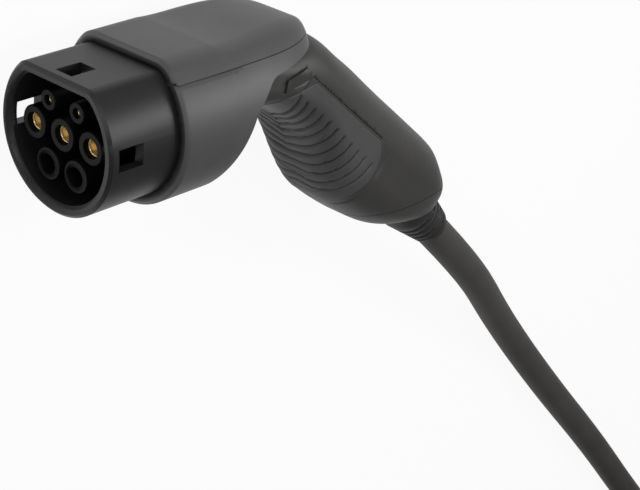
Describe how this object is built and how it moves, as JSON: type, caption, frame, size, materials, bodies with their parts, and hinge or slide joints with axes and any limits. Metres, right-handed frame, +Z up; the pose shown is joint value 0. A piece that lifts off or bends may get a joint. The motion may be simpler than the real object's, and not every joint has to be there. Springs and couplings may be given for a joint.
{
  "type": "ev charging plug",
  "caption": "Angled pistol-grip charging plug with a shrouded multi-pole mating face, a ribbed soft grip, a slotted strain relief and a heavy lead coiled at its far end.",
  "frame": {"origin": "centre of the earth contact, in the plane of the shroud's rim", "axes": "+X back along the barrel from the mating face, +Y to the barrel's flat top, +Z up from the floor, with the plug lying on its side"},
  "size_m": [0.643, 0.7279, 0.072],
  "materials": {
    "shell_grey": "fine moulded grain, dark warm grey",
    "grip_dark": "fine moulded grain, near black",
    "soft_grip": "soft matt moulding with cut ribs",
    "shroud_black": "semi-gloss moulded",
    "carrier_black": "moulded",
    "rubber_black": "matt",
    "lead_jacket": "extruded jacket, satin",
    "contact_brass": "turned and plated",
    "steel": "zinc plated",
    "resistor": "lacquered",
    "wire_brown": "insulation",
    "wire_blue": "insulation",
    "wire_green": "insulation",
    "wire_white": "insulation"
  },
  "bodies": {
    "root": {"front_shroud": "shroud_black", "contact_carrier": "carrier_black", "contact_plate": "carrier_black", "plate_screws": "steel", "well_gasket": "rubber_black", "coding_resistor": "resistor", "top_cover": "shell_grey", "barrel_housing": "shell_grey", "grip_housing": "grip_dark", "grip_pad": "soft_grip", "grip_tiles": "grip_dark", "end_cap": "grip_dark", "strain_relief": "rubber_black", "gland_seal": "rubber_black", "lead_clamp": "carrier_black", "cable": "lead_jacket", "cable_coil": "lead_jacket", "cable_end": "lead_jacket", "ferrules": "steel", "line_contact": "contact_brass", "earth_contact": "contact_brass", "neutral_contact": "contact_brass", "pilot_contact": "contact_brass", "proximity_contact": "contact_brass", "line_wire": "wire_brown", "neutral_wire": "wire_blue", "earth_wire": "wire_green", "pilot_wire": "wire_white", "line_tail": "wire_brown", "neutral_tail": "wire_blue", "earth_tail": "wire_green", "pilot_tail": "wire_white"}
  },
  "joints": []
}
